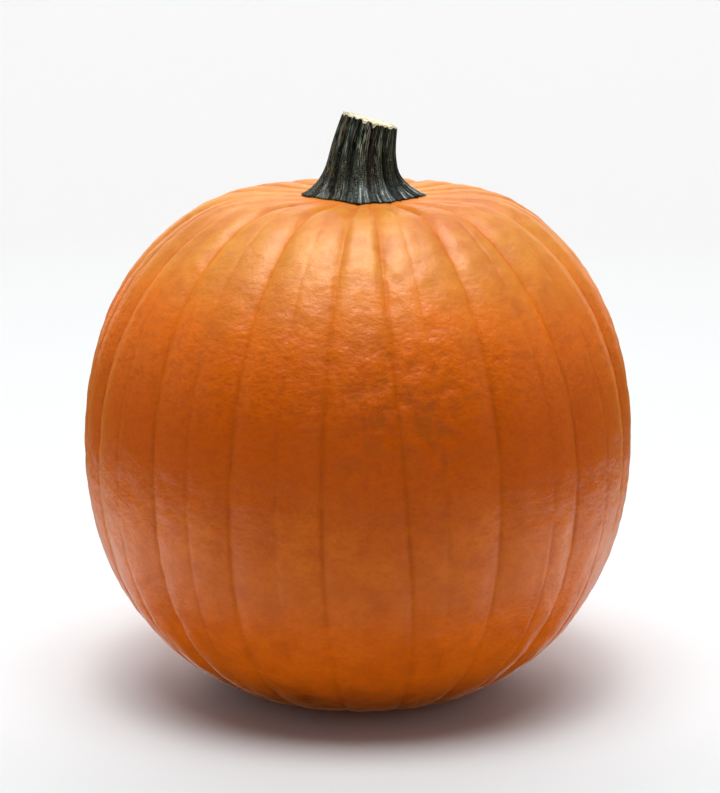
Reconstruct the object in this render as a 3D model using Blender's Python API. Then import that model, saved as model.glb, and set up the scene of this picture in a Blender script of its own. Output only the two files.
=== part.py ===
"""A ribbed orange pumpkin with its cut stem, standing on its blossom end.

The fruit is one solid: a squat ball whose ribs, furrows, flat shoulder and blossom scar are
relief on its surface. The stem is a second solid, a ridged stalk that leans to +X and spreads
its toes over the top of the fruit. Both start as a sphere primitive, whose columns follow the
ribs and whose rings follow the height, and each vertex is then moved by a formula.

Metres, +Z up, the side that faces the viewer towards -Y. The origin is the middle of the
bounding box, on the surface that the pumpkin stands on.
"""

import math

import bmesh
import bpy
from mathutils import Vector

# The fruit's round body, measured from its widest level.
FRUIT_RADIUS = 0.1402
TOP_RISE = 0.1408
TOP_FULLNESS = 0.148
BOTTOM_DROP = 0.1401
BOTTOM_FULLNESS = 0.126

# The flat shoulder round the stem and the flattened end round the blossom scar: each is a
# shallow cone that cuts the round body off, with a rounded edge.
SHOULDER_RISE = 0.1238
SHOULDER_SLOPE = 0.055
SOLE_DROP = 0.1248
SOLE_SLOPE = 0.10
EDGE_ROUNDING = 0.014

# How far the two ends sit to +X of the body's own middle.
TOP_DRIFT = 0.0035
BOTTOM_DRIFT = 0.0020

# The level of the resting face below the widest level: it flattens the ribs' undersides.
REST_DROP = 0.1277

# Furrows between the ribs: longitude in degrees at a high, the middle and a low level, going
# round from the viewer's left, then the depth as a share of a full furrow. 0 faces the viewer
# and 90 faces +X.
FURROWS = (
    (-66.0, -69.0, -72.0, 1.1),
    (-47.0, -45.5, -47.0, 1.0),
    (-25.0, -26.0, -27.5, 0.95),
    (-6.0, -7.0, -6.0, 0.6),
    (6.5, 9.5, 13.5, 0.65),
    (27.5, 29.5, 30.0, 0.9),
    (46.5, 50.5, 50.0, 1.0),
    (72.0, 75.0, 77.0, 1.1),
    (96.0, 95.0, 93.0, 0.9),
    (114.0, 114.0, 116.0, 1.0),
    (133.0, 134.0, 133.5, 0.85),
    (153.0, 153.0, 152.0, 1.05),
    (174.0, 174.0, 175.5, 0.9),
    (193.0, 194.5, 194.0, 1.1),
    (215.0, 215.0, 217.0, 0.8),
    (235.0, 234.0, 233.0, 1.0),
    (253.0, 253.0, 254.0, 0.9),
    (274.0, 272.0, 271.0, 1.05),
)
FURROW_LEVEL = 0.100

# A furrow is a valley with a narrow crease along its bottom, and each rib has a fainter
# crease along its middle. The valleys deepen towards the stem and fade towards the blossom end.
VALLEY_DEPTH = 0.0014
TOP_VALLEY_DEPTH = 0.0022
BOTTOM_VALLEY_DEPTH = 0.0007
VALLEY_SHARPNESS = 8
CREASE_DEPTH = 0.0006
MIDRIB_DEPTH = 0.0004
RELIEF_STARTS = 0.016
RELIEF_FULL = 0.036
TOP_RELIEF_STARTS = 0.021
TOP_RELIEF_FULL = 0.050

# Where the columns of a rib stand, from one furrow to the next.
RIB_STEPS = (0.0, 0.07, 0.22, 0.42, 0.50, 0.58, 0.78, 0.93)

# The rings crowd towards the ends, where the surface turns fastest.
FRUIT_RINGS = 36
RING_CROWDING = 0.19

# The corky disc at the blossom end, which stands in a small round hollow.
SCAR_INNER_RADIUS = 0.0045
SCAR_OUTER_RADIUS = 0.0135
SCAR_HEIGHT = 0.0015

# The stem: it stands a hair's breadth off the shoulder, which a solid of its own needs.
STEM_GAP = 0.0004
STEM_RISE = 0.0401
STEM_FOOT_X = 0.0017
STEM_BEND = 4.3
STEM_BEND_STARTS = 0.008
STEM_TOP_RADIUS = 0.0151
STEM_TAPER = 0.0042
TOE_FADE = 0.0065
TOE_THICKNESS = 0.0009
CUT_SLOPE_X = -0.264
CUT_SLOPE_Y = -0.060

# Ridges of the stem, round the stalk: the angle in degrees at the foot, the height as a share
# of a full ridge, how far the toe spreads, and the depth of the groove on the ridge's left.
RIDGES = (
    (-86.0, 0.9, 0.0118, 0.0022),
    (-60.0, 0.8, 0.0050, 0.0018),
    (-34.0, 1.0, 0.0025, 0.0026),
    (-3.0, 1.0, 0.0125, 0.0024),
    (27.0, 0.9, 0.0105, 0.0038),
    (57.0, 1.0, 0.0085, 0.0026),
    (88.0, 0.9, 0.0138, 0.0024),
    (119.0, 1.0, 0.0080, 0.0030),
    (150.0, 0.8, 0.0120, 0.0022),
    (181.0, 1.0, 0.0095, 0.0034),
    (212.0, 0.9, 0.0130, 0.0026),
    (243.0, 1.0, 0.0070, 0.0028),
)
RIDGE_TWIST_DEGREES = -2.0
RIDGE_ROUNDNESS = 0.6
TOE_GROOVE_GAIN = 1.3
RIDGE_STEPS = (0.0, 0.12, 0.30, 0.50, 0.70, 0.88)
SOLE_RINGS = 5
SIDE_RINGS = 13
SIDE_CROWDING = 1.7
CUT_RINGS = 3

COLLECTION_NAME = "pumpkin"
RIND_COLOUR = (0.50, 0.105, 0.006, 1.0)
RIND_ROUGHNESS = 0.42
STEM_COLOUR = (0.030, 0.036, 0.028, 1.0)
STEM_ROUGHNESS = 0.70
SHARP_ANGLE_DEGREES = 40.0


def clear_scene():
    """Take away every object that the new file starts with."""
    for item in list(bpy.data.objects):
        bpy.data.objects.remove(item, do_unlink=True)


def blend(low, high, share):
    """The value that lies at share of the way from low to high."""
    return low + (high - low) * share


def ease(start, end, value):
    """0 below start, 1 above end, and a smooth S between them."""
    share = min(max((value - start) / (end - start), 0.0), 1.0)
    return share * share * (3.0 - 2.0 * share)


def soft_lower(first, second, rounding):
    """The lower of two heights, with the edge where they meet rounded off."""
    overlap = max(rounding - abs(first - second), 0.0) / rounding
    return min(first, second) - overlap ** 3 * rounding / 6.0


def body_profile(latitude):
    """Radius, height and sideways drift of the smooth body at a latitude in radians."""
    sine = math.sin(latitude)
    if latitude >= 0.0:
        radius = FRUIT_RADIUS * math.cos(latitude) * (1.0 + TOP_FULLNESS * sine ** 2)
        shoulder = SHOULDER_RISE + SHOULDER_SLOPE * radius
        height = soft_lower(TOP_RISE * sine, shoulder, EDGE_ROUNDING)
        return radius, height, TOP_DRIFT * sine ** 4
    radius = FRUIT_RADIUS * math.cos(latitude) * (1.0 + BOTTOM_FULLNESS * sine ** 2)
    sole = SOLE_DROP + SOLE_SLOPE * radius
    depth = soft_lower(-BOTTOM_DROP * sine, sole, EDGE_ROUNDING)
    return radius, -depth, BOTTOM_DRIFT * sine ** 4


def furrow_longitude(number, height):
    """Where a furrow runs at a height, in degrees: a parabola through its three longitudes."""
    turns, index = divmod(number, len(FURROWS))
    high, middle, low = FURROWS[index][:3]
    level = height / FURROW_LEVEL
    lean = (high - low) / 2.0
    bow = (high + low) / 2.0 - middle
    return middle + lean * level + bow * level ** 2 + 360.0 * turns


def furrow_depth(rib, share, radius, height):
    """How far the surface lies below the smooth body, at a share of the way across a rib."""
    if height > 0.0:
        end_depth = TOP_VALLEY_DEPTH
        relief = ease(TOP_RELIEF_STARTS, TOP_RELIEF_FULL, radius)
    else:
        end_depth = BOTTOM_VALLEY_DEPTH
        relief = ease(RELIEF_STARTS, RELIEF_FULL, radius)
    valley = blend(VALLEY_DEPTH, end_depth, (height / SHOULDER_RISE) ** 2)
    strength = blend(FURROWS[rib][3], FURROWS[(rib + 1) % len(FURROWS)][3], share)
    depth = strength * valley * abs(math.cos(math.pi * share)) ** VALLEY_SHARPNESS
    if share == 0.0:
        depth += CREASE_DEPTH
    if share == 0.5:
        depth += MIDRIB_DEPTH
    return depth * relief


def rind_point(rib, share, latitude):
    """A point of the rind, with the middle of the body's widest level at the origin."""
    radius, height, drift = body_profile(latitude)
    left = furrow_longitude(rib, height)
    right = furrow_longitude(rib + 1, height)
    longitude = math.radians(blend(left, right, share))
    shrink = 1.0 - furrow_depth(rib, share, radius, height) / FRUIT_RADIUS
    point = Vector((
        radius * math.sin(longitude) * shrink + drift,
        -radius * math.cos(longitude) * shrink,
        height * shrink,
    ))
    if latitude < 0.0:
        scar = SCAR_HEIGHT * (1.0 - ease(SCAR_INNER_RADIUS, SCAR_OUTER_RADIUS, radius))
        point.z = max(point.z - scar, -REST_DROP)
    return point


def shoulder_level(x, y):
    """Height of the flat shoulder over a plan position, measured at the crests of the ribs."""
    return SHOULDER_RISE + SHOULDER_SLOPE * math.hypot(x - TOP_DRIFT, y)


def groove_angle(number):
    """Angle at the foot, in degrees, of the groove on the left of a ridge."""
    turns, place = divmod(number, len(RIDGES))
    before = RIDGES[place - 1][0] - (360.0 if place == 0 else 0.0)
    return (before + RIDGES[place][0]) / 2.0 + 360.0 * turns


def stem_angle(number, share, rise):
    """Direction of a column of the stem in radians, at a rise above the shoulder."""
    foot = blend(groove_angle(number), groove_angle(number + 1), share)
    return math.radians(foot + RIDGE_TWIST_DEGREES * rise / STEM_RISE)


def groove_below(number, share):
    """How far the surface lies below a full ridge's crest, across one ridge."""
    left = RIDGES[number][3]
    right = RIDGES[(number + 1) % len(RIDGES)][3]
    crest = RIDGES[number][1] * math.sin(math.pi * share) ** RIDGE_ROUNDNESS
    return blend(left, right, share) * (1.0 - crest)


def toe_spread(number, share):
    """How far the foot spreads at a share of the way across a ridge, level from toe to toe."""
    spreads = [ridge[2] for ridge in RIDGES]
    if share < 0.5:
        return blend(spreads[number - 1], spreads[number], ease(-0.5, 0.5, share))
    return blend(spreads[number], spreads[(number + 1) % len(spreads)], ease(0.5, 1.5, share))


def stem_reach(number, share, rise):
    """Distance of the stalk's surface from its own middle, at a rise above the shoulder."""
    foot = math.exp(-rise / TOE_FADE)
    taper = STEM_TAPER * (1.0 - rise / STEM_RISE)
    groove = groove_below(number, share) * blend(1.0, TOE_GROOVE_GAIN, foot)
    return STEM_TOP_RADIUS + taper + toe_spread(number, share) * foot - groove


def stem_centre(rise):
    """Where the stalk's own middle lies in X at a rise above the shoulder."""
    bent = max(rise - STEM_BEND_STARTS, 0.0)
    return STEM_FOOT_X + STEM_BEND * bent ** 2


def cut_rise(x, y):
    """Rise of the slanted cut over a plan position, from the shoulder."""
    return STEM_RISE + CUT_SLOPE_X * (x - stem_centre(STEM_RISE)) + CUT_SLOPE_Y * y


def stem_plan(number, share, rise):
    """Plan position of a column of the stalk's side at a rise above the shoulder."""
    angle = stem_angle(number, share, rise)
    reach = stem_reach(number, share, rise)
    return stem_centre(rise) + reach * math.sin(angle), -reach * math.cos(angle)


def stem_point(number, share, ring):
    """A point of the stem: the rings run under the foot, up the side and over the cut."""
    foot_x, foot_y = stem_plan(number, share, 0.0)
    if ring <= SOLE_RINGS:
        x = blend(stem_centre(0.0), foot_x, ring / SOLE_RINGS)
        y = foot_y * ring / SOLE_RINGS
        return Vector((x, y, shoulder_level(x, y) + STEM_GAP))
    top_rise = cut_rise(*stem_plan(number, share, STEM_RISE))
    if ring > SOLE_RINGS + SIDE_RINGS:
        top_x, top_y = stem_plan(number, share, top_rise)
        inward = (ring - SOLE_RINGS - SIDE_RINGS) / CUT_RINGS
        x = blend(top_x, stem_centre(STEM_RISE), inward)
        y = blend(top_y, 0.0, inward)
        rim_gap = top_rise - cut_rise(top_x, top_y)
        return Vector((x, y, SHOULDER_RISE + cut_rise(x, y) + rim_gap * (1.0 - inward)))
    climb = ((ring - SOLE_RINGS) / SIDE_RINGS) ** SIDE_CROWDING
    rise = blend(TOE_THICKNESS, top_rise, climb)
    foot_level = shoulder_level(foot_x, foot_y) + STEM_GAP
    level = blend(foot_level, SHOULDER_RISE, ease(0.0, 0.5, climb))
    x, y = stem_plan(number, share, rise)
    return Vector((x, y, level + rise))


def grow(name, columns, rings, place, material):
    """Close a sphere of columns by rings, move each vertex to place(column, ring)."""
    shape = bmesh.new()
    bmesh.ops.create_uvsphere(shape, u_segments=columns, v_segments=rings, radius=1.0)
    for vertex in shape.verts:
        turn = math.atan2(vertex.co.y, vertex.co.x) / math.tau
        column = round(turn * columns) % columns
        ring = round(math.acos(max(-1.0, min(1.0, -vertex.co.z))) / math.pi * rings)
        vertex.co = place(column, ring)
    mesh = bpy.data.meshes.new(name)
    shape.to_mesh(mesh)
    shape.free()
    mesh.materials.append(material)
    mesh.shade_smooth()
    mesh.set_sharp_from_angle(angle=math.radians(SHARP_ANGLE_DEGREES))
    return bpy.data.objects.new(name, mesh)


def make_material(name, colour, roughness):
    """A plain Principled surface."""
    material = bpy.data.materials.new(name)
    material.use_nodes = True
    surface = material.node_tree.nodes["Principled BSDF"]
    surface.inputs["Base Color"].default_value = colour
    surface.inputs["Roughness"].default_value = roughness
    surface.inputs["Metallic"].default_value = 0.0
    return material


def make_fruit():
    """The ribbed body, from the blossom scar up to the shoulder under the stem."""
    steps = len(RIB_STEPS)

    def place(column, ring):
        rib, step = divmod(column, steps)
        level = ring / FRUIT_RINGS - 0.5
        latitude = math.pi * level + RING_CROWDING * math.sin(math.tau * level)
        return rind_point(rib, RIB_STEPS[step], latitude)

    rind = make_material("rind", RIND_COLOUR, RIND_ROUGHNESS)
    return grow("fruit", len(FURROWS) * steps, FRUIT_RINGS, place, rind)


def make_stem():
    """The cut stalk with its toes."""
    steps = len(RIDGE_STEPS)
    rings = SOLE_RINGS + SIDE_RINGS + CUT_RINGS

    def place(column, ring):
        number, step = divmod(column, steps)
        return stem_point(number, RIDGE_STEPS[step], ring)

    bark = make_material("stem_bark", STEM_COLOUR, STEM_ROUGHNESS)
    return grow("stem", len(RIDGES) * steps, rings, place, bark)


def centre_on_base(pieces):
    """Move the meshes together, so that the box's bottom middle is the origin."""
    points = [vertex.co for piece in pieces for vertex in piece.data.vertices]
    middle_x = (min(p.x for p in points) + max(p.x for p in points)) / 2.0
    middle_y = (min(p.y for p in points) + max(p.y for p in points)) / 2.0
    lowest = min(p.z for p in points)
    shift = Vector((middle_x, middle_y, lowest))
    for piece in pieces:
        for vertex in piece.data.vertices:
            vertex.co -= shift


def main():
    clear_scene()
    collection = bpy.data.collections.new(COLLECTION_NAME)
    bpy.context.scene.collection.children.link(collection)
    pieces = [make_fruit(), make_stem()]
    centre_on_base(pieces)
    for piece in pieces:
        collection.objects.link(piece)


main()
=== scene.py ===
"""The dressed pumpkin: its waxy ribbed rind, its dry ridged stem and a plain studio around it.

Both pieces are grown by Geometry Nodes from the same formulas as the solids that they stand
for, with many more columns and rings, so that the creases and dents of the rind and the strands,
torn toes and splinters of the stem are real shape. Finer wrinkles, pores and threads are bump
and colour. Metres, +Z up, the photographed side towards -Y.
"""

import ast
import math

import bpy
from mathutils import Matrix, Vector


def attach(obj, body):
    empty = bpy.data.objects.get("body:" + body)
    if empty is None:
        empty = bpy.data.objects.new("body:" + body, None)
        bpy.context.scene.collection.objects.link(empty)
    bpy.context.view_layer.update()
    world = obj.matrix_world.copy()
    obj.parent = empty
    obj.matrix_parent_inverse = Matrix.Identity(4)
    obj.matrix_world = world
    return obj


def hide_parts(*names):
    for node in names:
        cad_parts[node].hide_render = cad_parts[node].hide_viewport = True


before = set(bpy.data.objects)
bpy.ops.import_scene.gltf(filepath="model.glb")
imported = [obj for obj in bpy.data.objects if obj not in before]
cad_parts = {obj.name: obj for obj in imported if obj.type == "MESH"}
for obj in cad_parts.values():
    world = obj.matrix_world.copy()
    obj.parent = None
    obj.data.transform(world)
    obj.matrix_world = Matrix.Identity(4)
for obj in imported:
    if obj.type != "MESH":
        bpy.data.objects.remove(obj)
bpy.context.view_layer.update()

# The height of the fruit's widest level over the floor.
MIDDLE_RISE = 0.1277

# What both pieces read: the shoulder that the stem stands on, how far the top has drifted towards
# +X, and how far the box's middle is from the axis of the ribs.
SHARED_SIZES = {
    "Middle rise": MIDDLE_RISE,
    "Shoulder rise": 0.1238,
    "Shoulder slope": 0.055,
    "Top drift": 0.0035,
    "Shift X": 0.00005,
    "Shift Y": -0.00007,
}

# Furrows between the ribs: longitude in degrees at a high, the middle and a low level, 0 towards
# the viewer and 90 towards +X, then the depth as a share of a full furrow, the place of the
# faint crease on the rib to the furrow's right, as a share of the rib, and how strong it is.
FURROW_LABELS = ("high", "middle", "low", "depth_share")
RIB_LABELS = ("midrib_place", "midrib_strength")
FURROWS = (
    (-66.0, -69.0, -72.0, 1.1, 0.50, 0.9),
    (-47.0, -45.5, -47.0, 1.0, 0.50, 0.8),
    (-25.0, -26.0, -27.5, 0.95, 0.52, 0.6),
    (-6.0, -7.0, -6.0, 0.6, 0.55, 0.2),
    (6.5, 9.5, 13.5, 0.65, 0.40, 0.7),
    (27.5, 29.5, 30.0, 0.9, 0.62, 0.8),
    (46.5, 50.5, 50.0, 1.0, 0.45, 0.9),
    (72.0, 75.0, 77.0, 1.1, 0.48, 0.9),
    (96.0, 95.0, 93.0, 0.9, 0.55, 0.6),
    (114.0, 114.0, 116.0, 1.0, 0.46, 0.8),
    (133.0, 134.0, 133.5, 0.85, 0.58, 0.5),
    (153.0, 153.0, 152.0, 1.05, 0.50, 0.8),
    (174.0, 174.0, 175.5, 0.9, 0.42, 0.7),
    (193.0, 194.5, 194.0, 1.1, 0.50, 0.9),
    (215.0, 215.0, 217.0, 0.8, 0.60, 0.4),
    (235.0, 234.0, 233.0, 1.0, 0.47, 0.8),
    (253.0, 253.0, 254.0, 0.9, 0.52, 0.7),
    (274.0, 272.0, 271.0, 1.05, 0.50, 0.9),
)

# Ridges of the stem: angle in degrees at the foot, height as a share of a full ridge, how far
# the toe spreads, and the depth of the groove on the ridge's left.
RIDGE_LABELS = ("angle", "height", "toe", "groove_depth")
RIDGES = (
    (-86.0, 0.9, 0.0118, 0.0022),
    (-60.0, 0.8, 0.0050, 0.0018),
    (-34.0, 1.0, 0.0025, 0.0026),
    (-3.0, 1.0, 0.0125, 0.0024),
    (27.0, 0.9, 0.0105, 0.0038),
    (57.0, 1.0, 0.0085, 0.0026),
    (88.0, 0.9, 0.0138, 0.0024),
    (119.0, 1.0, 0.0080, 0.0030),
    (150.0, 0.8, 0.0120, 0.0022),
    (181.0, 1.0, 0.0095, 0.0034),
    (212.0, 0.9, 0.0130, 0.0026),
    (243.0, 1.0, 0.0070, 0.0028),
)

# Sizes are metres and angles degrees. A crowding draws the columns towards the furrows, faint
# creases and grooves, and the rings towards the poles or the toes, where the shape turns most.
RIND_SIZES = {
    **SHARED_SIZES,
    "Ribs": len(FURROWS),
    "Columns per rib": 28,
    "Rings": 197,
    "Column crowding": 0.62,
    "Ring crowding": 0.19,
    "Body radius": 0.1402,
    "Top rise": 0.1408,
    "Top fullness": 0.148,
    "Bottom drop": 0.1401,
    "Bottom fullness": 0.126,
    "Sole drop": 0.1248,
    "Sole slope": 0.10,
    "Edge rounding": 0.014,
    "Bottom drift": 0.0020,
    "Furrow level": 0.100,
    "Valley depth": 0.0014,
    "Top valley depth": 0.0022,
    "Bottom valley depth": 0.0007,
    "Relief starts": 0.016,
    "Relief full": 0.036,
    "Top relief starts": 0.021,
    "Top relief full": 0.050,
    "Crease depth": 0.00045,
    "Crease width": 0.0014,
    "Wavers per metre": 30.0,
    "Midrib depth": 0.00035,
    "Midrib width": 0.0013,
    "Lump height": 0.0007,
    "Lump size": 0.034,
    "Dent height": 0.00045,
    "Dent size": 0.0085,
    "Rough patch depth": 0.0019,
    "Rough patch radius": 0.036,
    "Rough patch longitude": 9.0,
    "Rough patch rise": 0.044,
    "Bruise strength": 0.5,
    "Scar inner radius": 0.0045,
    "Scar outer radius": 0.0135,
    "Scar height": 0.0015,
    "Pale ring starts": 0.020,
    "Pale ring ends": 0.055,
}

STEM_SIZES = {
    **SHARED_SIZES,
    "Ridges": len(RIDGES),
    "Columns per ridge": 34,
    "Sole rings": 8,
    "Side rings": 120,
    "Cut rings": 26,
    "Column crowding": 0.45,
    "Side crowding": 1.5,
    "Gap": 0.0004,
    "Rise": 0.0401,
    "Foot X": 0.0017,
    "Bend": 4.3,
    "Bend starts": 0.008,
    "Top radius": 0.0151,
    "Taper": 0.0042,
    "Toe fade": 0.0065,
    "Toe thickness": 0.0006,
    "Toe groove gain": 1.3,
    "Cut slope X": -0.264,
    "Cut slope Y": -0.060,
    "Twist": -2.0,
    "Roundness": 0.6,
    "Unrolled radius": 0.019,
    "Strand depth": 0.0009,
    "Strand width": 0.0012,
    "Strand length": 0.018,
    "Knot height": 0.0009,
    "Knot size": 0.007,
    "Torn edge": 0.0058,
    "Tears per metre": 520.0,
    "Rim wear": 0.0016,
    "Rim chips per metre": 450.0,
    "Face chips per metre": 500.0,
    "Notch depth": 0.0022,
    "Notch angle": 12.0,
    "Notch width": 4.5,
    "Pith depth": 0.0009,
    "Clean rim in millimetres": 3.0,
    "Splinters per square metre": 40000.0,
    "Splinter length": 0.0036,
    "Splinter width": 0.00013,
    "Splinter seed": 7,
    "Smallest splinter": 0.4,
    "Largest splinter": 1.2,
    "Darkest splinter": 0.1,
    "Palest splinter": 0.45,
    "Warts per square metre": 14000.0,
    "Wart radius": 0.00025,
    "Wart seed": 3,
    "Smallest wart": 0.4,
    "Largest wart": 1.4,
    "Darkest wart": 0.15,
    "Palest wart": 0.6,
    "Shade seed": 11,
}

# What each piece's shape tells its material, as attributes of its mesh.
RIND_MARKS = ("furrow", "midrib", "scar", "around_stem", "bruise")
STEM_MARKS = ("groove", "foot", "strand", "below_cut", "inward", "round", "lift")


def colour(code):
    """An sRGB hex colour as the linear values that a shader takes."""
    parts = [int(code[place:place + 2], 16) / 255.0 for place in (1, 3, 5)]
    linear = [p / 12.92 if p <= 0.04045 else ((p + 0.055) / 1.055) ** 2.4 for p in parts]
    return (*linear, 1.0)


def add(tree, kind, inputs=None, **settings):
    """Add a node: settings are its own fields, inputs are values or links for its sockets."""
    node = tree.nodes.new(kind)
    for field, value in settings.items():
        setattr(node, field, value)
    for key, value in (inputs or {}).items():
        if isinstance(key, int):
            socket = node.inputs[key]
        else:
            socket = next(item for item in node.inputs if item.name == key and item.enabled)
        if isinstance(value, bpy.types.Node):
            value = next(item for item in value.outputs if item.enabled)
        if isinstance(value, bpy.types.NodeSocket):
            tree.links.new(value, socket)
        else:
            socket.default_value = value
    return node


# The words and signs that a formula may hold, and what Blender calls them. Ease and slide take
# a start, an end and a value, and go from 0 to 1 between the two, softly or evenly.
SIGNS = {
    ast.Add: "ADD",
    ast.Sub: "SUBTRACT",
    ast.Mult: "MULTIPLY",
    ast.Div: "DIVIDE",
    ast.Pow: "POWER",
}
WORDS = {
    "sin": "SINE",
    "cos": "COSINE",
    "exp": "EXPONENT",
    "abs": "ABSOLUTE",
    "sqrt": "SQRT",
    "floor": "FLOOR",
    "min": "MINIMUM",
    "max": "MAXIMUM",
    "mod": "FLOORED_MODULO",
    "above": "GREATER_THAN",
    "soft_lower": "SMOOTH_MIN",
}
RAMPS = {"ease": "SMOOTHSTEP", "slide": "LINEAR"}


def work_out(tree, text, values):
    """Turn lines of formulas into Math nodes; each result joins the values under its name."""

    def build(part):
        if isinstance(part, ast.Constant):
            return float(part.value)
        if isinstance(part, ast.Name):
            return values[part.id]
        if isinstance(part, ast.UnaryOp):
            terms, sign = [build(part.operand), -1.0], "MULTIPLY"
        elif isinstance(part, ast.BinOp):
            terms, sign = [build(part.left), build(part.right)], SIGNS[type(part.op)]
        else:
            word = part.func.id
            terms = [build(term) for term in part.args]
            if word in RAMPS:
                limits = {"From Min": terms[0], "From Max": terms[1], "Value": terms[2]}
                return add(tree, "ShaderNodeMapRange", limits, interpolation_type=RAMPS[word])
            sign = WORDS[word]
        return add(tree, "ShaderNodeMath", dict(enumerate(terms)), operation=sign)

    for line in ast.parse(text).body:
        values[line.targets[0].id] = build(line.value)


def start_tree(name, sizes):
    """A Geometry Nodes tree with a named input for each size; also its values by plain name."""
    tree = bpy.data.node_groups.new(name, "GeometryNodeTree")
    tree.interface.new_socket("Geometry", in_out="INPUT", socket_type="NodeSocketGeometry")
    tree.interface.new_socket("Geometry", in_out="OUTPUT", socket_type="NodeSocketGeometry")
    for label, size in sizes.items():
        kind = "NodeSocketInt" if isinstance(size, int) else "NodeSocketFloat"
        tree.interface.new_socket(label, in_out="INPUT", socket_type=kind)
    start = add(tree, "NodeGroupInput")
    values = {"pi": math.pi, "tau": math.tau, "index": add(tree, "GeometryNodeInputIndex")}
    for label in sizes:
        values[label.lower().replace(" ", "_")] = start.outputs[label]
    return tree, start, values


def guide_mesh(name, labels, rows):
    """Loose points, one for each row, that carry the row's numbers as attributes."""
    mesh = bpy.data.meshes.new(name)
    mesh.from_pydata([(0.0, 0.0, 0.0)] * len(rows), [], [])
    for place, label in enumerate(labels):
        layer = mesh.attributes.new(label, "FLOAT", "POINT")
        layer.data.foreach_set("value", [row[place] for row in rows])
    return mesh


def look_up(tree, start, label, number):
    """The guide point's attribute at a number, as a field."""
    named = add(tree, "GeometryNodeInputNamedAttribute", {"Name": label}, data_type="FLOAT")
    links = {"Geometry": start.outputs["Geometry"], "Value": named, "Index": number}
    return add(tree, "GeometryNodeSampleIndex", links, data_type="FLOAT")


def finish_tree(tree, geometry, material):
    """Smooth faces, real meshes for the instances, one material and the way out."""
    smooth = add(tree, "GeometryNodeSetShadeSmooth", {"Geometry": geometry, "Shade Smooth": True})
    real = add(tree, "GeometryNodeRealizeInstances", {"Geometry": smooth})
    dressed = add(tree, "GeometryNodeSetMaterial", {"Geometry": real, "Material": material})
    add(tree, "NodeGroupOutput", {"Geometry": dressed})


def grow(name, tree, guide, sizes, node):
    """Run the tree on its guide and keep what it makes as a plain mesh in the node's place."""
    piece = bpy.data.objects.new(name, guide)
    bpy.context.scene.collection.objects.link(piece)
    modifier = piece.modifiers.new("growth", "NODES")
    modifier.node_group = tree
    for socket in tree.interface.items_tree:
        if socket.name in sizes:
            modifier[socket.identifier] = sizes[socket.name]
    grown = piece.evaluated_get(bpy.context.evaluated_depsgraph_get())
    mesh = bpy.data.meshes.new_from_object(grown)
    piece.modifiers.remove(modifier)
    mesh.name = name
    piece.data = mesh
    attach(piece, "root")
    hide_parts(node)


# Where the skin's colours lie. Ripe is metres over the widest level, moved up and down by clouds
# and patches, and the shares that follow it are painted light and shade by height: the skin is
# painted darkest round the middle as painted shade, lighter orange above and below it and lighter
# and yellower on the shoulder as painted light, and brown near the floor as painted shade. Deeper
# clouds and patches lie over that.
COLOUR_RULE = """
ripe = z - middle_rise + (cloud - 0.5) * 0.04 + (patch - 0.5) * 0.03
under_middle = ease(0.015, -0.035, ripe)
lower_side = ease(-0.040, -0.080, ripe)
near_floor = ease(-0.095, -0.124, ripe)
upper_side = ease(0.028, 0.076, ripe)
shoulder = ease(0.062, 0.115, ripe)
clouded = 0.5 * slide(0.40, 0.70, cloud)
patched = 0.4 * slide(0.45, 0.70, patch)
pores = 0.25 * (1 - slide(0.10, 0.28, pore))
crack = scar * slide(0.46, 0.52, patch)
"""

# The crease lines are partly the skin's own darker line and partly painted shade in the creases:
# brown round the middle, deep orange on the shoulder and faint near the floor.
# Here and below, z is metres over the floor.
LINE_RULE = """
line = (furrow * 0.45 + midrib * 0.22) * ease(0.25, 0.6, patch)
high = ease(0.17, 0.225, z)
low_line = line * (0.35 + 0.65 * ease(0.05, 0.13, z)) * (1 - high)
high_line = line * high
"""

# Wrinkles and hammered dents are deepest high on the sides, just under the shoulder. The hollows
# between them get painted shade, most of all round the middle. Heights are metres.
RELIEF_RULE = """
fade = 0.55 + 0.7 * ease(0.145, 0.185, z) - 0.6 * ease(0.195, 0.225, z)
relief = (wrinkles * 0.0003 + hammering * 0.0007) * fade + grain * 0.00011 - pores * 0.0001
dark = 1 - ease(0.35, 0.6, wrinkles * 0.4 + hammering * 0.3 + grain * 0.3)
mottle = dark * (0.3 + 0.3 * ease(0.08, 0.14, z) - 0.42 * ease(0.17, 0.225, z))
"""

# The wax is dull on the shoulder, thin in the creases and worn off the scar. On the sole that the
# fruit stands on, the gloss fades and roughens as painted shade, so that the skin there mirrors
# nothing of the lit floor.
GLOSS_RULE = """
standing = 1 - ease(0, 0.025, z)
rough = 0.15 + patch * 0.06 + scar * 0.45 + 0.17 * ease(0.15, 0.225, z) + 0.25 * standing
gloss = (0.42 - 0.25 * furrow) * (1 - 0.8 * standing)
"""

# Colours of the skin, in the order in which they lie over each other: share and colour. The
# first five, by height, are painted light and shade.
SKIN_BASE = "#b75003"
SKIN_LAYERS = (
    ("under_middle", "#d36706"),
    ("lower_side", "#df6705"),
    ("near_floor", "#8f3a04"),
    ("upper_side", "#e36d03"),
    ("shoulder", "#de9332"),
    ("clouded", "#bc5003"),
    ("patched", "#bd4d02"),
    ("around_stem", "#f08a2c"),
    # Crease lines: partly the skin's own line, partly painted shade in the crease.
    ("low_line", "#843b0b"),
    ("high_line", "#d4620e"),
    ("pores", "#b9510d"),
    # Partly bruise, partly painted shade in the deepest dents.
    ("bruise", "#8a4a12"),
    ("scar", "#94734c"),
    ("crack", "#5a4229"),
    # Painted shade in the hollows of the wrinkles and dents.
    ("mottle", "#a84102"),
)
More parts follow.
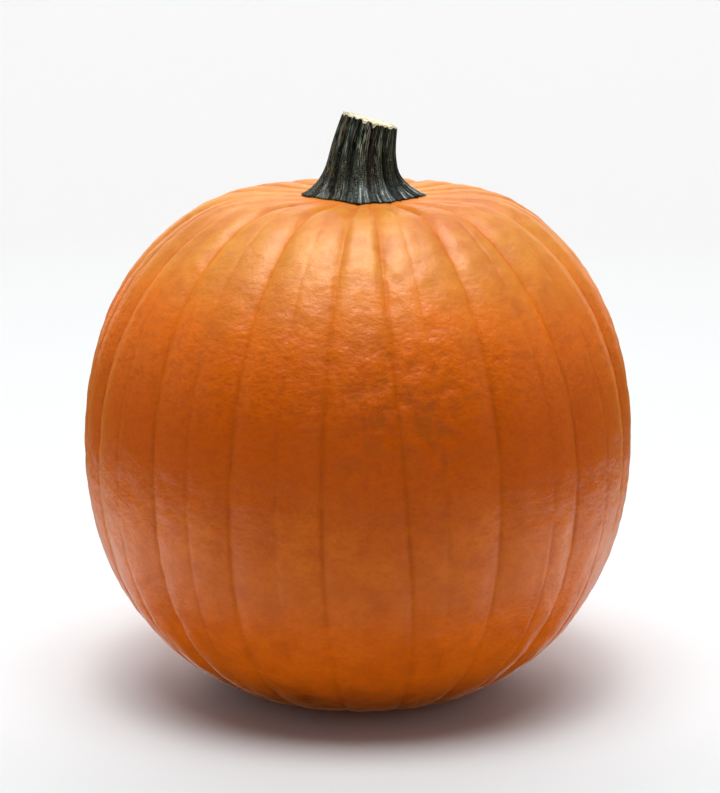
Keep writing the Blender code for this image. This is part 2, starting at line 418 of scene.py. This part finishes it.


# Pumpkin rind, ripe and waxy, as it grew: a hard skin that gives a broad soft gloss under a faint
# bloom, with a dull brown in its deepest dents that is partly bruise and partly painted shade,
# and a scar of tan cork, dark in its cracks. Its colour also carries painted light and shade by
# height, in the creases and in the hollows.
def rind_material():
    material = bpy.data.materials.new("pumpkin rind, ripe and waxy")
    material.use_nodes = True
    tree = material.node_tree
    tree.nodes.clear()
    place = add(tree, "ShaderNodeTexCoord").outputs["Object"]
    level = add(tree, "ShaderNodeMapping", {"Vector": place, "Scale": (1.0, 1.0, 1.6)})
    values = {"middle_rise": MIDDLE_RISE}
    values["z"] = add(tree, "ShaderNodeSeparateXYZ", {0: place}).outputs["Z"]
    for name in RIND_MARKS:
        values[name] = add(tree, "ShaderNodeAttribute", attribute_name=name).outputs["Fac"]

    # Sizes in millimetres. Wrinkles and hammered dents lie level, longer than they are high:
    # 2.6 by 1.6 and 6.1 by 3.8. Pores are 2.4 apart and about 0.9 wide.
    patterns = (
        ("cloud", place, 45.45, 3.0),
        ("patch", place, 11.765, 4.0),
        ("wrinkles", level, 2.632, 3.0),
        ("hammering", level, 6.061, 2.0),
        ("grain", place, 0.909, 2.0),
    )
    for name, spread, size, detail in patterns:
        pattern = {"Vector": spread, "Scale": 1000.0 / size, "Detail": detail}
        values[name] = add(tree, "ShaderNodeTexNoise", pattern)
    cells = {"Vector": place, "Scale": 1000.0 / 2.381}
    values["pore"] = add(tree, "ShaderNodeTexVoronoi", cells).outputs["Distance"]

    for rule in (COLOUR_RULE, LINE_RULE, RELIEF_RULE, GLOSS_RULE):
        work_out(tree, rule, values)
    base = colour(SKIN_BASE)
    for share, code in SKIN_LAYERS:
        mix = {"Factor": values[share], "A": base, "B": colour(code)}
        base = add(tree, "ShaderNodeMix", mix, data_type="RGBA")
    bump = add(tree, "ShaderNodeBump", {"Height": values["relief"], "Strength": 0.8, "Distance": 1.0})
    surface = add(
        tree,
        "ShaderNodeBsdfPrincipled",
        {
            "Base Color": base,
            "Roughness": values["rough"],
            "IOR": 1.48,
            "Specular IOR Level": values["gloss"],
            "Sheen Weight": 0.25,
            "Sheen Roughness": 0.4,
            "Sheen Tint": colour("#ffb050"),
            "Normal": bump,
        },
    )
    add(tree, "ShaderNodeOutputMaterial", {"Surface": surface})
    return material


# The rule of the rind's smooth body: a ring gives the latitude, and a column gives the rib and
# the share of the way across it.
RIND_RULE = """
columns = ribs * columns_per_rib
ring = floor((index - 1) / columns) + 1
column = mod(index - 1, columns)
level = 0.5 - ring / rings
latitude = pi * level + ring_crowding * sin(tau * level)
sine = sin(latitude)
upper = above(latitude, 0)
fullness = bottom_fullness + (top_fullness - bottom_fullness) * upper
radius = body_radius * cos(latitude) * (1 + fullness * sine ** 2)
top = soft_lower(top_rise * sine, shoulder_rise + shoulder_slope * radius, edge_rounding)
bottom = soft_lower(-bottom_drop * sine, sole_drop + sole_slope * radius, edge_rounding)
height = top * upper - bottom * (1 - upper)
drift = (bottom_drift + (top_drift - bottom_drift) * upper) * sine ** 4
rib = mod(floor(column / columns_per_rib), ribs)
next_rib = mod(rib + 1, ribs)
raw = mod(column, columns_per_rib) / columns_per_rib
share = raw - column_crowding * sin(2 * tau * raw) / (2 * tau)
"""

# Where a point of the smooth body lies: between its two furrows, which curve from high to low.
RIND_PLACE = """
way = height / furrow_level
left = middle + (high - low) / 2 * way + ((high + low) / 2 - middle) * way ** 2
right = next_middle + (next_high - next_low) / 2 * way
right = right + ((next_high + next_low) / 2 - next_middle) * way ** 2
right = right + 360 * above(0.5, next_rib)
across = share + (midrib_place - 0.5) * 4 * share * (1 - share)
longitude = (left + (right - left) * across) * pi / 180
east = sin(longitude)
north = -cos(longitude)
body_x = radius * east
body_y = radius * north
lump_scale = 1 / lump_size
dent_scale = 1 / dent_size
"""

# How far the valleys, creases, lumps and dents lower the smooth body, and what the material is
# told about them. The bruise mark in the deepest dents of the rough patch is partly bruise and
# partly painted shade.
RIND_RELIEF = """
low_relief = ease(relief_starts, relief_full, radius)
high_relief = ease(top_relief_starts, top_relief_full, radius)
relief = low_relief + (high_relief - low_relief) * upper
ending = (height / shoulder_rise) ** 2
end_depth = bottom_valley_depth + (top_valley_depth - bottom_valley_depth) * upper
valley = (valley_depth + (end_depth - valley_depth) * ending) * abs(cos(pi * across)) ** 8
valley = valley * (depth_share + (next_depth_share - depth_share) * across)
width = (right - left) * pi / 180 * radius
near = min(across, 1 - across) * width
furrow = exp(-((near / crease_width) ** 2)) * relief
mid = (across - midrib_place) * width
midrib = exp(-((mid / midrib_width) ** 2)) * relief * midrib_strength
crease = crease_depth * furrow * (0.5 + waver_noise)
depth = valley * relief + crease + midrib_depth * midrib + lump_height * lump_noise * relief
patch_turn = rough_patch_longitude * pi / 180
patch_x = body_x - body_radius * sin(patch_turn)
patch_y = body_y + body_radius * cos(patch_turn)
patch_z = height - rough_patch_rise
patch_away = (patch_x * patch_x + patch_y * patch_y + patch_z * patch_z) / rough_patch_radius ** 2
rough_patch = exp(-patch_away)
dent = ease(0.3, 0.7, dent_noise)
depth = depth + (dent_height + (rough_patch_depth - dent_height) * rough_patch) * dent * relief
shrink = 1 - depth / body_radius
x = body_x * shrink + drift - shift_x
y = body_y * shrink - shift_y
scar = (1 - upper) * (1 - ease(scar_inner_radius, scar_outer_radius, radius))
sunk = height * shrink - scar * scar_height
z = max(sunk, -middle_rise) + middle_rise
around_stem = upper * (1 - ease(pale_ring_starts, pale_ring_ends, radius))
bruise = rough_patch * ease(0.6, 1, dent) * bruise_strength
"""


def grow_rind():
    """The rind: a ball of rings and columns, each point of it moved by the three rules."""
    guide = guide_mesh("furrow guide", FURROW_LABELS + RIB_LABELS, FURROWS)
    tree, start, values = start_tree("ribbed rind", RIND_SIZES)
    work_out(tree, RIND_RULE, values)
    for label in FURROW_LABELS + RIB_LABELS:
        values[label] = look_up(tree, start, label, values["rib"])
    for label in FURROW_LABELS:
        values["next_" + label] = look_up(tree, start, label, values["next_rib"])
    work_out(tree, RIND_PLACE, values)
    links = {"X": values["body_x"], "Y": values["body_y"], "Z": values["height"]}
    smooth = add(tree, "ShaderNodeCombineXYZ", links)
    patterns = (
        ("lump_noise", "lump_scale", 1.0),
        ("dent_noise", "dent_scale", 2.0),
        ("waver_noise", "wavers_per_metre", 2.0),
    )
    for name, scale, detail in patterns:
        pattern = {"Vector": smooth, "Scale": values[scale], "Detail": detail}
        values[name] = add(tree, "ShaderNodeTexNoise", pattern)
    work_out(tree, RIND_RELIEF, values)

    links = {"Segments": values["columns"], "Rings": values["rings"], "Radius": 1.0}
    ball = add(tree, "GeometryNodeMeshUVSphere", links)
    for name in RIND_MARKS:
        links = {"Geometry": ball, "Name": name, "Value": values[name]}
        ball = add(tree, "GeometryNodeStoreNamedAttribute", links, data_type="FLOAT")
    links = {"X": values["x"], "Y": values["y"], "Z": values["z"]}
    target = add(tree, "ShaderNodeCombineXYZ", links)
    ball = add(tree, "GeometryNodeSetPosition", {"Geometry": ball, "Position": target})
    finish_tree(tree, ball, rind_material())
    grow("rind", tree, guide, RIND_SIZES, "fruit")


# Shares of the bark's colours, its relief and its roughness. Round is degrees round the stalk
# from the viewer's side towards +X, foot goes from 0 up the stalk to 1 at its toes, lift is metres
# over the shoulder, below_cut is millimetres, and inward goes from 0 at the cut's rim to 1 at its
# middle. Lit and dim are painted light and shade: the grey threads are painted brighter on the
# viewer's side of the stalk and dimmer some 54 degrees round towards +X. Crest keeps the threads
# and the olive on the ridges, so the grooves are painted dark as painted shade.
BARK_RULE = """
crest = ease(0.3, 0.8, 1 - groove)
thread = ease(0.54, 0.6, fine)
off_front = (round + 6) / 12
off_side = (round - 54) / 20
dim = 1 - 0.6 * exp(-(off_side * off_side))
lit = (0.22 + 0.66 * ease(0.42, 0.58, tone)) * dim + 0.6 * exp(-(off_front * off_front))
raised = ease(0.4, 0.6, strand) * (0.05 + 0.95 * crest)
olive = raised * 0.75
low = 1 - ease(0.012, 0.034, lift)
crumb = ease(0.46, 0.6, grain)
grey = (thread * (0.3 + 0.7 * raised) * (1 - low * (1 - 0.5 * crumb)) + 0.17 * low * crumb) * lit
patchy = ease(0.36, 0.56, blotch + 0.1 * foot)
worn = (0.25 + 0.75 * thread) * (0.55 + 0.45 * ease(0.4, 0.56, grain)) * (0.1 + 0.9 * patchy)
blue = ease(0.14, 0.42, foot) * (0.06 + 0.94 * raised) * worn
off_panel = (round - 14) / 5
purple = exp(-(off_panel * off_panel)) * (0.35 + 0.4 * thread) * (1 - foot)
off_spot = (round + 68) / 12
rust = exp(-(off_spot * off_spot)) * ease(0.45, 0.6, blotch) * thread * 0.8 * (1 - foot)
toe_end = ease(0.95, 1, foot) * 0.2
peeled = 1 - ease(0.15, 0.7, below_cut + (fine - 0.5) * 0.9)
rays = ease(0.42, 0.62, fine) * 0.4 * peeled
stained = ease(0.52, 0.68, blotch) * 0.45 * peeled
lobe = 0.5 + 0.5 * cos(round * pi / 30)
pith = ease(0.5, 0.7, inward - 0.14 * lobe + (grain - 0.5) * 0.5) * 0.6 * peeled
on_face = ease(0.001, 0.02, inward)
off_ring = (inward - 0.3 + (blotch - 0.5) * 0.15) / 0.07
bundle = exp(-(off_ring * off_ring)) * ease(0.4, 0.8, 1 - lobe) * 0.5 * peeled * on_face
rim = (1 - ease(0.03, 0.12, inward + (fine - 0.5) * 0.08)) * on_face * 0.75 * peeled
relief = strand * 0.0003 + fine * 0.00035 + grain * 0.0001
rough = 0.58 - 0.16 * blue + 0.27 * peeled
"""

# Colours of the bark and then of the cut wood, in the order in which they lie over each other.
BARK_BASE = "#070a04"
BARK_LAYERS = (
    ("olive", "#29352c"),
    # Grey threads, painted lighter on the viewer's side and dimmer on the flank, as painted light and
    # shade.
    ("grey", "#b0bda8"),
    # Painted highlight on the toes, in patches.
    ("blue", "#c0d0d2"),
    ("purple", "#3a242b"),
    ("rust", "#a07a34"),
    ("speck", "#cdc6a8"),
    # Painted shade along the toes' bottom edge, where they meet the rind.
    ("toe_end", "#14140f"),
    ("peeled", "#f3e8cb"),
    ("rays", "#d9c69c"),
    ("stained", "#cdb482"),
    ("pith", "#b2935f"),
    ("bundle", "#9c9a62"),
    ("rim", "#6f7148"),
)


# Cut stalk, dried on the fruit: matt dark green-black bark with grey strands, a painted pale blue
# highlight on the toes, painted light and shade along the stalk, and cream fibrous wood where the
# knife went through.
def bark_material():
    material = bpy.data.materials.new("pumpkin stalk, cut and dried")
    material.use_nodes = True
    tree = material.node_tree
    tree.nodes.clear()
    place = add(tree, "ShaderNodeTexCoord").outputs["Object"]
    unrolled = add(tree, "ShaderNodeAttribute", attribute_name="unrolled").outputs["Vector"]
    values = {"pi": math.pi}
    for name in (*STEM_MARKS, "speck"):
        values[name] = add(tree, "ShaderNodeAttribute", attribute_name=name).outputs["Fac"]

    # Sizes in millimetres. Threads and changes of tone run up the stalk, so they are measured
    # round it, while blotches and grains are as long as they are wide.
    patterns = (
        ("fine", unrolled, 0.4348, 1.0),
        ("tone", unrolled, 8.333, 1.0),
        ("blotch", place, 4.348, 2.0),
        ("grain", place, 0.6667, 2.0),
    )
    for name, spread, size, detail in patterns:
        pattern = {"Vector": spread, "Scale": 1000.0 / size, "Detail": detail}
        values[name] = add(tree, "ShaderNodeTexNoise", pattern)

    work_out(tree, BARK_RULE, values)
    base = colour(BARK_BASE)
    for share, code in BARK_LAYERS:
        mix = {"Factor": values[share], "A": base, "B": colour(code)}
        base = add(tree, "ShaderNodeMix", mix, data_type="RGBA")
    bump = add(tree, "ShaderNodeBump", {"Height": values["relief"], "Strength": 0.9, "Distance": 1.0})
    surface = add(
        tree,
        "ShaderNodeBsdfPrincipled",
        {
            "Base Color": base,
            "Roughness": values["rough"],
            "IOR": 1.42,
            "Specular IOR Level": 0.2,
            "Normal": bump,
        },
    )
    add(tree, "ShaderNodeOutputMaterial", {"Surface": surface})
    return material


# The rule of the stalk: rings run from the middle of the sole, under the toes, up the ridged side
# and over the slanted cut to its middle.
STEM_RULE = """
columns = ridges * columns_per_ridge
rings = sole_rings + side_rings + cut_rings
ring = rings - 1 - floor((index - 1) / columns)
column = mod(index - 1, columns)
ridge = mod(floor(column / columns_per_ridge), ridges)
ridge_before = mod(ridge - 1, ridges)
ridge_after = mod(ridge + 1, ridges)
raw = mod(column, columns_per_ridge) / columns_per_ridge
share = raw - column_crowding * sin(tau * raw) / tau
sole = min(ring / sole_rings, 1)
on_side = above(ring, sole_rings + 0.5)
climb = min(max((ring - sole_rings) / side_rings, 0), 1) ** side_crowding
inward = max(ring - sole_rings - side_rings, 0) / cut_rings
"""

# The ridge's own form, and the bark unrolled round the stalk, for the patterns that follow it.
STEM_HEIGHT = """
start_angle = (angle + angle_before - 360 * above(0.5, ridge)) / 2
end_angle = (angle + angle_after + 360 * above(ridge, ridges - 1.5)) / 2
round = start_angle + (end_angle - start_angle) * share
hump = height * max(sin(pi * share), 0) ** roundness
groove = 1 - hump
sunken = (groove_depth + (groove_depth_after - groove_depth) * share) * groove
late = above(share, 0.5)
pull = ease(-0.5, 0.5, share) * (1 - late) + (1 - ease(0.5, 1.5, share)) * late
near_toe = toe_before + (toe_after - toe_before) * late
spread = near_toe + (toe - near_toe) * pull
top_turn = (round + twist) * pi / 180
top_reach = top_radius - sunken
slant_x = cut_slope_x * top_reach * sin(top_turn)
slant_y = cut_slope_y * top_reach * cos(top_turn)
off_notch = (round - notch_angle) / notch_width
notch = notch_depth * exp(-(off_notch * off_notch))
closing = 1 - inward * 0.97
plain_rim = rise + slant_x - slant_y
foot_turn = round * pi / 180
ring_x = unrolled_radius * sin(foot_turn)
ring_y = -unrolled_radius * cos(foot_turn)
ring_z = plain_rim * climb * strand_width / strand_length
face_ring_x = ring_x * closing
face_ring_y = ring_y * closing
strand_scale = 1 / strand_width
knot_scale = 1 / knot_size
"""

# Where the point ends up, on the sole, the side or the cut, and where the bark is rough enough
# for splinters and warts: on the side, a little under the cut's rim.
STEM_PLACE = """
wear = rim_wear * ease(0.35, 0.75, edge_noise)
rim_level = plain_rim - notch - wear
lift = (toe_thickness + (rim_level - toe_thickness) * climb) * on_side
foot = exp(-(lift / toe_fade))
turn = (round + twist * lift / rise) * pi / 180
coarse = (knot_noise - 0.5) * knot_height * 2
torn = (tear_noise - 0.5) * torn_edge * 2
surface = coarse - strand_depth * (1 - strand) * (0.4 + 0.6 * hump)
bulk = top_radius + taper * (1 - lift / rise) - sunken * (1 + (toe_groove_gain - 1) * foot)
reach = bulk + (spread + torn) * foot + surface * (1 - 0.3 * foot)
bent = max(lift - bend_starts, 0)
centre = foot_x + bend * bent * bent
plan_x = centre + reach * sin(turn)
plan_y = -reach * cos(turn)
top_centre = foot_x + bend * (rise - bend_starts) ** 2
face_x = plan_x + (top_centre - plan_x) * inward
face_y = plan_y * (1 - inward)
face_rise = rise + cut_slope_x * (face_x - top_centre) + cut_slope_y * face_y
rim_rise = rise + cut_slope_x * (plan_x - top_centre) + cut_slope_y * plan_y
chips = rim_wear * 0.5 * face_noise * ease(0, 0.15, inward)
hollow = pith_depth * ease(0.55, 0.85, inward)
stand = face_rise + (lift - rim_rise) * (1 - inward) ** 12 - chips - hollow
foot_bulk = top_radius + taper - sunken * toe_groove_gain
foot_reach = foot_bulk + spread + torn + surface * 0.7
foot_far_x = foot_reach * sin(foot_turn)
foot_far_y = -foot_reach * cos(foot_turn)
sole_x = foot_x + foot_far_x * sole
sole_y = foot_far_y * sole
sole_off = sole_x - top_drift
sole_level = shoulder_rise + shoulder_slope * sqrt(sole_off * sole_off + sole_y * sole_y) + gap
side_level = sole_level + (shoulder_rise - sole_level) * ease(0, 0.5, climb)
x = sole_x + (face_x - sole_x) * on_side - shift_x
y = sole_y + (face_y - sole_y) * on_side - shift_y
z = middle_rise + sole_level + (side_level + stand - sole_level) * on_side
below_cut = (rim_level - lift) * 1000
rough_side = above(below_cut, clean_rim_in_millimetres)
point_above = max(index - columns, 0)
splinter_foot = -splinter_length / 2
"""


def scatter(tree, surface, shape, turned, values, kind):
    """Instances of a small shape over a surface, each with a size and a shade of its own."""
    seed = values[kind + "_seed"]
    links = {"Mesh": surface, "Density": values[kind + "s_per_square_metre"], "Seed": seed}
    spots = add(tree, "GeometryNodeDistributePointsOnFaces", links, distribute_method="RANDOM")
    links = {"Min": values["smallest_" + kind], "Max": values["largest_" + kind], "Seed": seed}
    size = add(tree, "FunctionNodeRandomValue", links, data_type="FLOAT")
    seed = values["shade_seed"]
    links = {"Min": values["darkest_" + kind], "Max": values["palest_" + kind], "Seed": seed}
    shade = add(tree, "FunctionNodeRandomValue", links, data_type="FLOAT")
    links = {"Points": spots, "Instance": shape, "Rotation": turned, "Scale": size}
    placed = add(tree, "GeometryNodeInstanceOnPoints", links)
    links = {"Geometry": placed, "Name": "speck", "Value": shade}
    placed = add(tree, "GeometryNodeStoreNamedAttribute", links, data_type="FLOAT", domain="INSTANCE")
    return add(tree, "GeometryNodeRealizeInstances", {"Geometry": placed})


def grow_stem():
    """The stem: rings and columns that the rules make a ridged stalk, with splinters and warts."""
    guide = guide_mesh("ridge guide", RIDGE_LABELS, RIDGES)
    tree, start, values = start_tree("ridged stalk", STEM_SIZES)
    work_out(tree, STEM_RULE, values)
    wanted = (
        ("", RIDGE_LABELS),
        ("_before", ("angle", "toe")),
        ("_after", ("angle", "toe", "groove_depth")),
    )
    for which, labels in wanted:
        for label in labels:
            values[label + which] = look_up(tree, start, label, values["ridge" + which])
    work_out(tree, STEM_HEIGHT, values)
    links = {"X": values["ring_x"], "Y": values["ring_y"], "Z": values["ring_z"]}
    unrolled = add(tree, "ShaderNodeCombineXYZ", links)
    links = {"X": values["face_ring_x"], "Y": values["face_ring_y"], "Z": values["ring_z"]}
    flattened = add(tree, "ShaderNodeCombineXYZ", links)
    patterns = (
        ("strand", unrolled, "strand_scale", 2.0, 0.5),
        ("knot_noise", unrolled, "knot_scale", 1.0, 0.5),
        ("tear_noise", unrolled, "tears_per_metre", 4.0, 0.8),
        ("edge_noise", unrolled, "rim_chips_per_metre", 3.0, 0.5),
        ("face_noise", flattened, "face_chips_per_metre", 3.0, 0.5),
    )
    for name, spread, scale, detail, rough in patterns:
        pattern = {"Vector": spread, "Scale": values[scale], "Detail": detail, "Roughness": rough}
        values[name] = add(tree, "ShaderNodeTexNoise", pattern)
    work_out(tree, STEM_PLACE, values)

    links = {"Segments": values["columns"], "Rings": values["rings"], "Radius": 1.0}
    stalk = add(tree, "GeometryNodeMeshUVSphere", links)
    for name in STEM_MARKS:
        links = {"Geometry": stalk, "Name": name, "Value": values[name]}
        stalk = add(tree, "GeometryNodeStoreNamedAttribute", links, data_type="FLOAT")
    links = {"Geometry": stalk, "Name": "unrolled", "Value": flattened}
    stalk = add(tree, "GeometryNodeStoreNamedAttribute", links, data_type="FLOAT_VECTOR")
    links = {"X": values["x"], "Y": values["y"], "Z": values["z"]}
    target = add(tree, "ShaderNodeCombineXYZ", links)
    stalk = add(tree, "GeometryNodeSetPosition", {"Geometry": stalk, "Position": target})

    # The strands run from each point to the one above it, and the splinters follow them.
    spot = add(tree, "GeometryNodeInputPosition")
    links = {"Value": spot, "Index": values["point_above"]}
    higher = add(tree, "GeometryNodeFieldAtIndex", links, data_type="FLOAT_VECTOR", domain="POINT")
    along = add(tree, "ShaderNodeVectorMath", {0: higher, 1: spot}, operation="SUBTRACT")
    links = {"Geometry": stalk, "Name": "along", "Value": along}
    stalk = add(tree, "GeometryNodeStoreNamedAttribute", links, data_type="FLOAT_VECTOR")
    links = {"Geometry": stalk, "Selection": values["rough_side"]}
    side = add(tree, "GeometryNodeSeparateGeometry", links)
    grain = add(tree, "GeometryNodeInputNamedAttribute", {"Name": "along"}, data_type="FLOAT_VECTOR")
    turned = add(tree, "FunctionNodeAlignRotationToVector", {"Vector": grain}, axis="Z")

    links = {
        "Vertices": 5,
        "Radius Bottom": values["splinter_width"],
        "Depth": values["splinter_length"],
    }
    splinter = add(tree, "GeometryNodeMeshCone", links, fill_type="TRIANGLE_FAN")
    lowered = add(tree, "ShaderNodeCombineXYZ", {"Z": values["splinter_foot"]})
    splinter = add(tree, "GeometryNodeTransform", {"Geometry": splinter, "Translation": lowered})
    splinters = scatter(tree, side, splinter, turned, values, "splinter")
    links = {"Radius": values["wart_radius"], "Subdivisions": 2}
    wart = add(tree, "GeometryNodeMeshIcoSphere", links)
    warts = scatter(tree, side, wart, turned, values, "wart")
    whole = add(tree, "GeometryNodeJoinGeometry")
    for part in (warts, splinters, stalk):
        tree.links.new(part.outputs[0], whole.inputs[0])
    finish_tree(tree, whole, bark_material())
    grow("stem_bark", tree, guide, STEM_SIZES, "stem")


# White paper for the floor, matt, with painted light on it: a cool white round the pumpkin, which
# cancels the orange light that the fruit throws on it, and greys from 0.35 m to 1.4 m away as a
# painted falloff of light.
def paper_material():
    material = bpy.data.materials.new("matt white paper")
    material.use_nodes = True
    tree = material.node_tree
    surface = tree.nodes["Principled BSDF"]
    surface.inputs["Roughness"].default_value = 0.9
    place = add(tree, "ShaderNodeTexCoord").outputs["Object"]
    apart = add(tree, "ShaderNodeVectorMath", {0: place}, operation="LENGTH").outputs["Value"]
    values = {"apart": apart}
    work_out(tree, "far = slide(0.35, 1.4, apart)", values)
    mix = {"Factor": values["far"], "A": colour("#c8cbcd"), "B": colour("#bfbfbf")}
    shade = add(tree, "ShaderNodeMix", mix, data_type="RGBA").outputs[2]
    tree.links.new(shade, surface.inputs["Base Color"])
    return material


# The floor's radius in metres, and how many corners its edge has.
FLOOR_REACH = 14.0
FLOOR_CORNERS = 96


def lay_floor():
    """A round sheet of paper, so wide that its edge is out of the picture."""
    mesh = bpy.data.meshes.new("floor")
    turns = [math.tau * corner / FLOOR_CORNERS for corner in range(FLOOR_CORNERS, 0, -1)]
    edge = [(FLOOR_REACH * math.sin(turn), FLOOR_REACH * math.cos(turn), 0.0) for turn in turns]
    mesh.from_pydata(edge, [], [tuple(range(FLOOR_CORNERS))])
    mesh.materials.append(paper_material())
    floor = bpy.data.objects.new("floor", mesh)
    bpy.context.scene.collection.objects.link(floor)
    floor.visible_glossy = False
    floor.visible_shadow = False
    return floor


# Soft lamps: name, degrees round from the viewer's side towards +X, degrees up, watts for each
# square metre that faces it, and degrees across.
LAMPS = (
    ("overhead lamp", 0.0, 90.0, 0.22, 13.0),
    ("high left lamp", -45.0, 79.0, 1.68, 28.0),
    ("high right lamp", 45.0, 79.0, 1.37, 28.0),
    ("low rear lamp", 180.0, 20.0, 3.30, 61.0),
    ("low left lamp", -90.0, 8.0, 0.58, 61.0),
    ("low right lamp", 90.0, 8.0, 0.70, 61.0),
    ("rear left lamp", -135.0, 25.0, 0.52, 61.0),
    ("rear right lamp", 135.0, 25.0, 0.50, 61.0),
    ("front lamp", 0.0, 5.0, 0.12, 61.0),
    ("glow of the floor in front", 0.0, -10.0, 0.38, 61.0),
    ("glow of the floor on the left", -105.0, -12.0, 0.50, 61.0),
    ("glow of the floor on the right", 105.0, -12.0, 0.50, 61.0),
)


def hang_lamps():
    """The lamps give the plain light alone; what the skin mirrors is in the world."""
    for name, turn, lift, power, across in LAMPS:
        light = bpy.data.lights.new(name, "SUN")
        light.energy = power
        light.angle = math.radians(across)
        lamp = bpy.data.objects.new(name, light)
        lamp.rotation_euler = (math.radians(90.0 - lift), 0.0, math.radians(turn))
        lamp.visible_glossy = False
        bpy.context.scene.collection.objects.link(lamp)


# What the waxy skin mirrors, by direction: a softbox at the zenith that leans to the rear, with a
# wide dim skirt that fades to the sides, the lit backdrop, and the lit floor with the pumpkin's
# own shade on it. The room in front is dim.
MIRROR_RULE = """
side = aside * aside
middle = max(1 - side * (0.2 + 2 * side), 0)
softbox = 8.7 * max(up, 0) ** 18 * (1 + 1.6 * max(away, 0)) + 1.0 * ease(0.35, 0.88, up) * middle
backdrop = 1.06 * ease(0.8, 1, away) * (1 - ease(0.5, 0.85, up)) * ease(-0.15, 0, up)
shade = ease(-0.13, 0.13, 0.3 * away - up - 0.71)
table = 1.06 * ease(-1.2, 0.3, away) * ease(0.18, 0.45, -up) * (1 - shade)
glow = 0.005 + softbox + backdrop + table
"""


def light_room():
    """The world: the mirrored room for reflections, and a plain pale grey for the camera."""
    world = bpy.data.worlds.new("softbox overhead in a dim room")
    world.use_nodes = True
    world.cycles_visibility.diffuse = False
    bpy.context.scene.world = world
    tree = world.node_tree
    tree.nodes.clear()
    outward = add(tree, "ShaderNodeTexCoord").outputs["Generated"]
    parts = add(tree, "ShaderNodeSeparateXYZ", {0: outward}).outputs
    values = {"aside": parts["X"], "away": parts["Y"], "up": parts["Z"]}
    work_out(tree, MIRROR_RULE, values)
    mirrored = {"Color": colour("#ffffff"), "Strength": values["glow"]}
    light = add(tree, "ShaderNodeBackground", mirrored)
    seen = add(tree, "ShaderNodeBackground", {"Color": colour("#f2f2f1"), "Strength": 1.0})
    path = add(tree, "ShaderNodeLightPath").outputs["Is Camera Ray"]
    both = add(tree, "ShaderNodeMixShader", {0: path, 1: light, 2: seen})
    add(tree, "ShaderNodeOutputWorld", {"Surface": both})


# How far the camera stands from the body's middle and how far up, its lens in millimetres, how
# far it sees, and where it aims: a little above the body's middle and to the right of it.
CAMERA_DISTANCE = 1.5
CAMERA_ELEVATION = math.radians(13.5)
CAMERA_LENS = 132.63
CAMERA_SIGHT = 60.0
AIM_ABOVE = 0.02084
AIM_RIGHT = 0.00113


def place_camera():
    """The photograph's view of the pumpkin."""
    data = bpy.data.cameras.new("camera")
    data.lens = CAMERA_LENS
    data.clip_end = CAMERA_SIGHT
    camera = bpy.data.objects.new("camera", data)
    bpy.context.scene.collection.objects.link(camera)
    middle = Vector((0.0, 0.0, MIDDLE_RISE))
    back = Vector((0.0, -math.cos(CAMERA_ELEVATION), math.sin(CAMERA_ELEVATION)))
    camera.location = middle + back * CAMERA_DISTANCE
    upward = Vector((0.0, math.sin(CAMERA_ELEVATION), math.cos(CAMERA_ELEVATION)))
    target = middle + upward * AIM_ABOVE + Vector((AIM_RIGHT, 0.0, 0.0))
    camera.rotation_euler = (target - camera.location).to_track_quat("-Z", "Y").to_euler()
    bpy.context.scene.camera = camera


grow_rind()
grow_stem()
floor = lay_floor()
hang_lamps()
light_room()
place_camera()

# The photograph has no film look, so the view adds none.
bpy.context.scene.view_settings.view_transform = "Standard"
